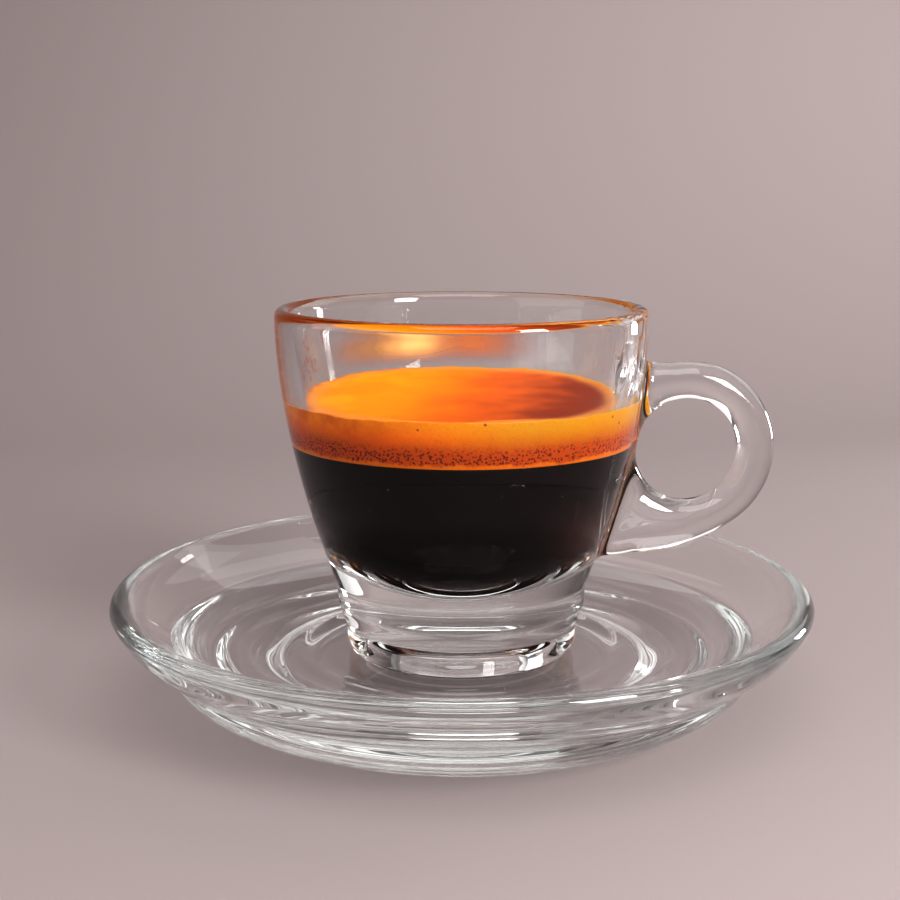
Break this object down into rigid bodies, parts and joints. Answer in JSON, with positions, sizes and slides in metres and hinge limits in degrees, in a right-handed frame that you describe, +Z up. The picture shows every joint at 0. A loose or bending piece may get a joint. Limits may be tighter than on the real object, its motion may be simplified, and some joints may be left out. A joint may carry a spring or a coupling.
{
  "type": "espresso",
  "caption": "Espresso with a thick golden crema in a clear glass cup with a ring handle, standing on a stepped clear glass saucer.",
  "frame": {"origin": "centre of the saucer's foot, on the surface it stands on", "axes": "+Z up along the axis of the cup and the saucer, +X from the axis towards the handle"},
  "size_m": [0.1144, 0.1144, 0.0642],
  "materials": {
    "saucer_glass": "clear pressed glass, polished",
    "cup_glass": "clear pressed glass, polished",
    "coffee": "black coffee, a still dark liquid",
    "crema": "fine golden-brown foam, moist"
  },
  "bodies": {
    "root": {"saucer": "saucer_glass", "cup": "cup_glass", "coffee": "coffee", "crema": "crema"}
  },
  "joints": []
}
